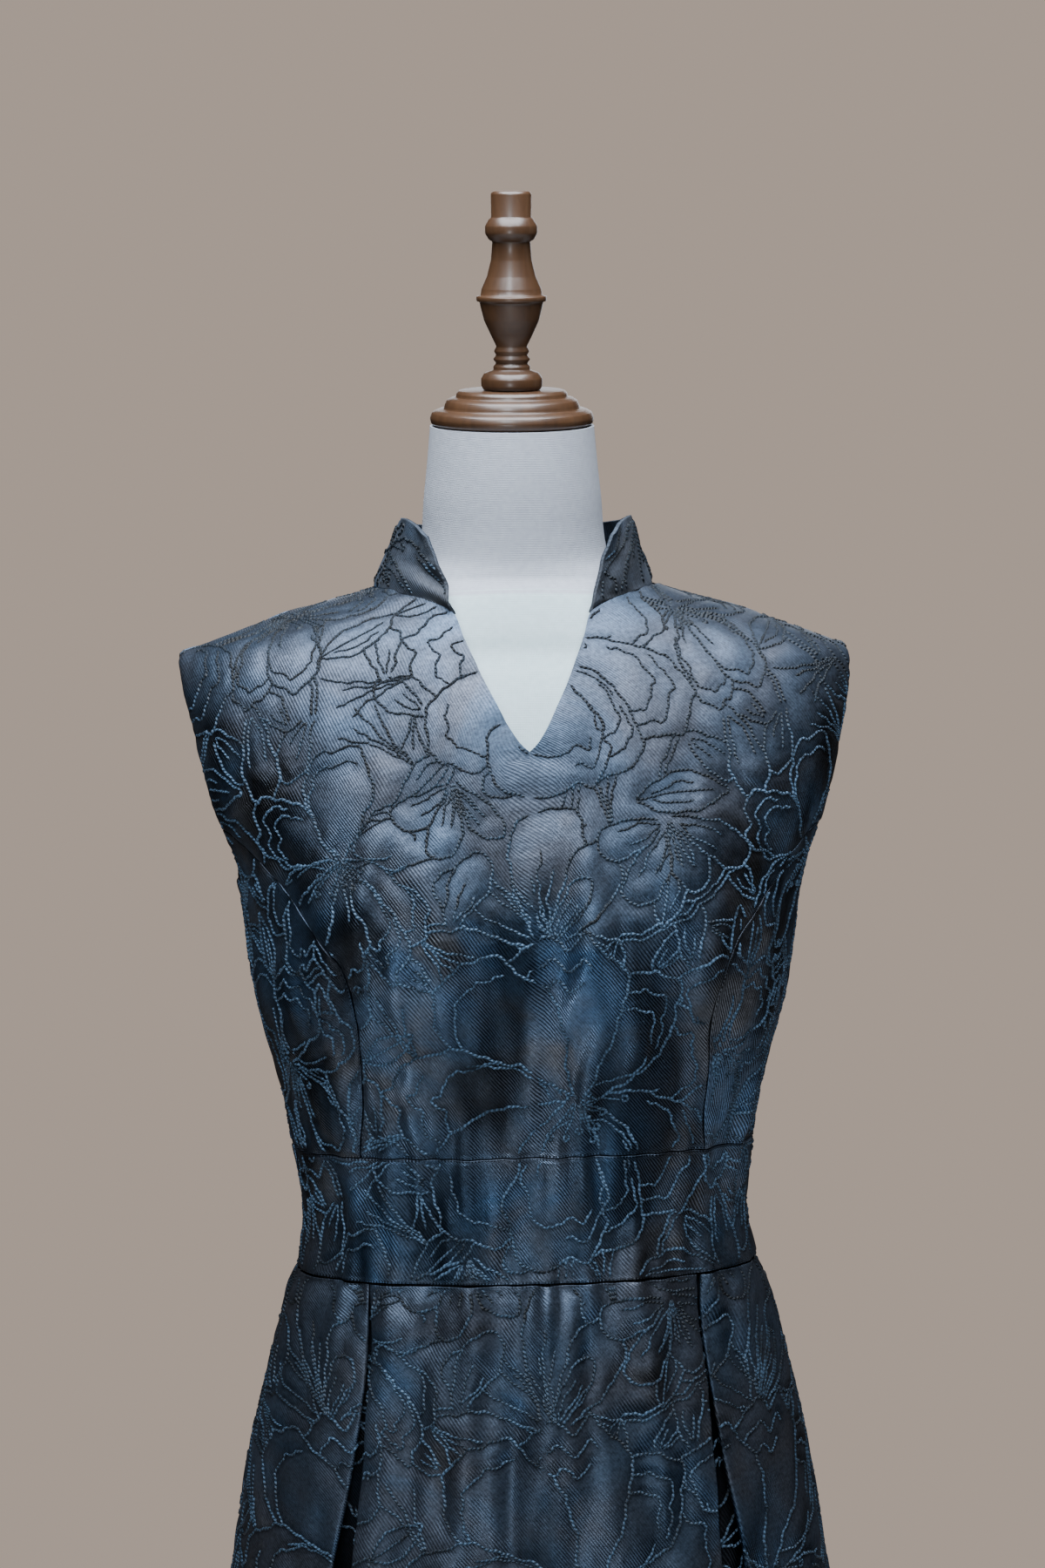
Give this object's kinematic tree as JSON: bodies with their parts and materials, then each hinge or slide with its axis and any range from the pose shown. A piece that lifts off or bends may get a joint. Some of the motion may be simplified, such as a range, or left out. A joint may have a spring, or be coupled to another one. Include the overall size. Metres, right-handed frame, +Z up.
{
  "type": "a-line dress on a limbless dress form",
  "caption": "Sleeveless navy floral jacquard a-line dress with a stand collar, V neck, waistband and inverted pleats, on a linen dress form with a turned wooden stand.",
  "frame": {"origin": "middle of the stand base's underside, on the floor", "axes": "+Z up; the dress faces -Y; +X is the right-hand side of someone who looks at its front"},
  "size_m": [0.4798, 0.384, 1.6424],
  "materials": {
    "jacquard": "satin",
    "linen": "matte",
    "walnut": "satin"
  },
  "bodies": {
    "root": {"bodice_front": "jacquard", "bodice_side_front_l": "jacquard", "bodice_side_front_r": "jacquard", "bodice_back_l": "jacquard", "bodice_back_r": "jacquard", "collar_l": "jacquard", "collar_r": "jacquard", "waistband_front": "jacquard", "waistband_back_l": "jacquard", "waistband_back_r": "jacquard", "skirt_front": "jacquard", "skirt_back_l": "jacquard", "skirt_back_r": "jacquard", "form_torso": "linen", "neck_cap": "walnut", "neck_finial": "walnut", "stand_base": "walnut", "stand_plate": "walnut", "stand_pole": "walnut"}
  },
  "joints": []
}
